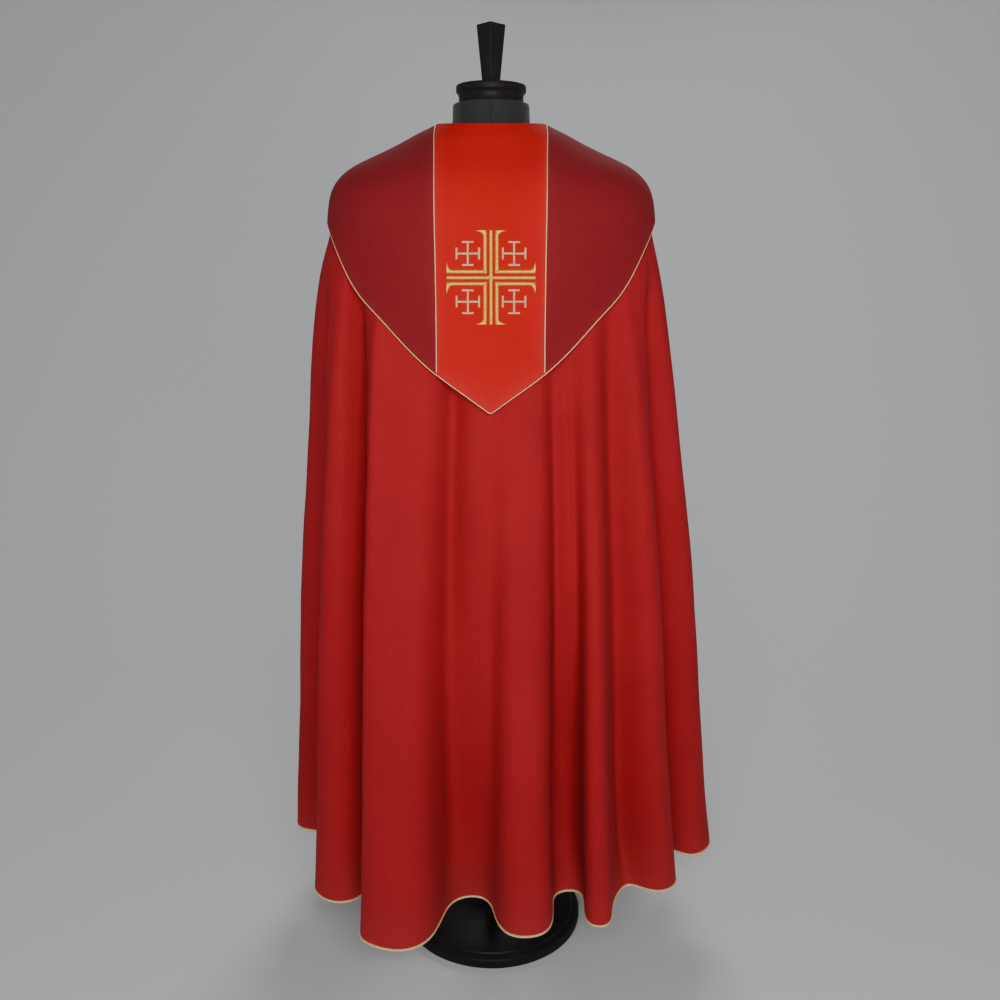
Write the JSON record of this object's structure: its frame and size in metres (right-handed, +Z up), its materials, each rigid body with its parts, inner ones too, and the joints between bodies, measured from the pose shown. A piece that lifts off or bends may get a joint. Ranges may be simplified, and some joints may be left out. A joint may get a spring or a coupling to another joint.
{
  "type": "cope vestment on dress form",
  "caption": "Floor-length red cope with a shield-shaped hood, gold cord edging and an embroidered cross on its back, open down the front, resting on a limbless dress form on a round stand.",
  "frame": {"origin": "centre of the stand's underside, on the floor", "axes": "+Z up along the pole; +Y towards the wearer's front, where the cope is open; -Y towards the hood and its cross; +X towards the wearer's right"},
  "size_m": [0.8266, 0.6298, 1.674],
  "materials": {
    "mantle_cloth": "deep red wool-type twill, matt with a faint sheen",
    "hood_cloth": "darker red cloth, matt",
    "orphrey_cloth": "brighter red fine plain weave, matt",
    "morse_cloth": "brighter red fine plain weave, matt",
    "gold_cord": "twisted gold cord",
    "gold_thread": "gold embroidery thread, satin sheen",
    "pale_gold_thread": "pale gold embroidery thread, satin sheen",
    "brass": "polished brass press stud",
    "form_cover": "black jersey cover",
    "dark_wood": "near-black stained and lacquered wood"
  },
  "bodies": {
    "root": {"mantle": "mantle_cloth", "hem_cord": "gold_cord", "front_cord_left": "gold_cord", "front_cord_right": "gold_cord", "hood_left": "hood_cloth", "hood_right": "hood_cloth", "hood_orphrey": "orphrey_cloth", "hood_cord": "gold_cord", "piping_left": "gold_cord", "piping_right": "gold_cord", "cross_core": "gold_thread", "cross_corner_upper_left": "gold_thread", "cross_corner_upper_right": "gold_thread", "cross_corner_lower_left": "gold_thread", "cross_corner_lower_right": "gold_thread", "crosslet_upper_left": "pale_gold_thread", "crosslet_upper_right": "pale_gold_thread", "crosslet_lower_left": "pale_gold_thread", "crosslet_lower_right": "pale_gold_thread", "morse": "morse_cloth", "morse_stud_upper": "brass", "morse_stud_lower": "brass", "form_torso": "form_cover", "neck_cap": "dark_wood", "finial": "dark_wood", "pole": "dark_wood", "base": "dark_wood"}
  },
  "joints": []
}
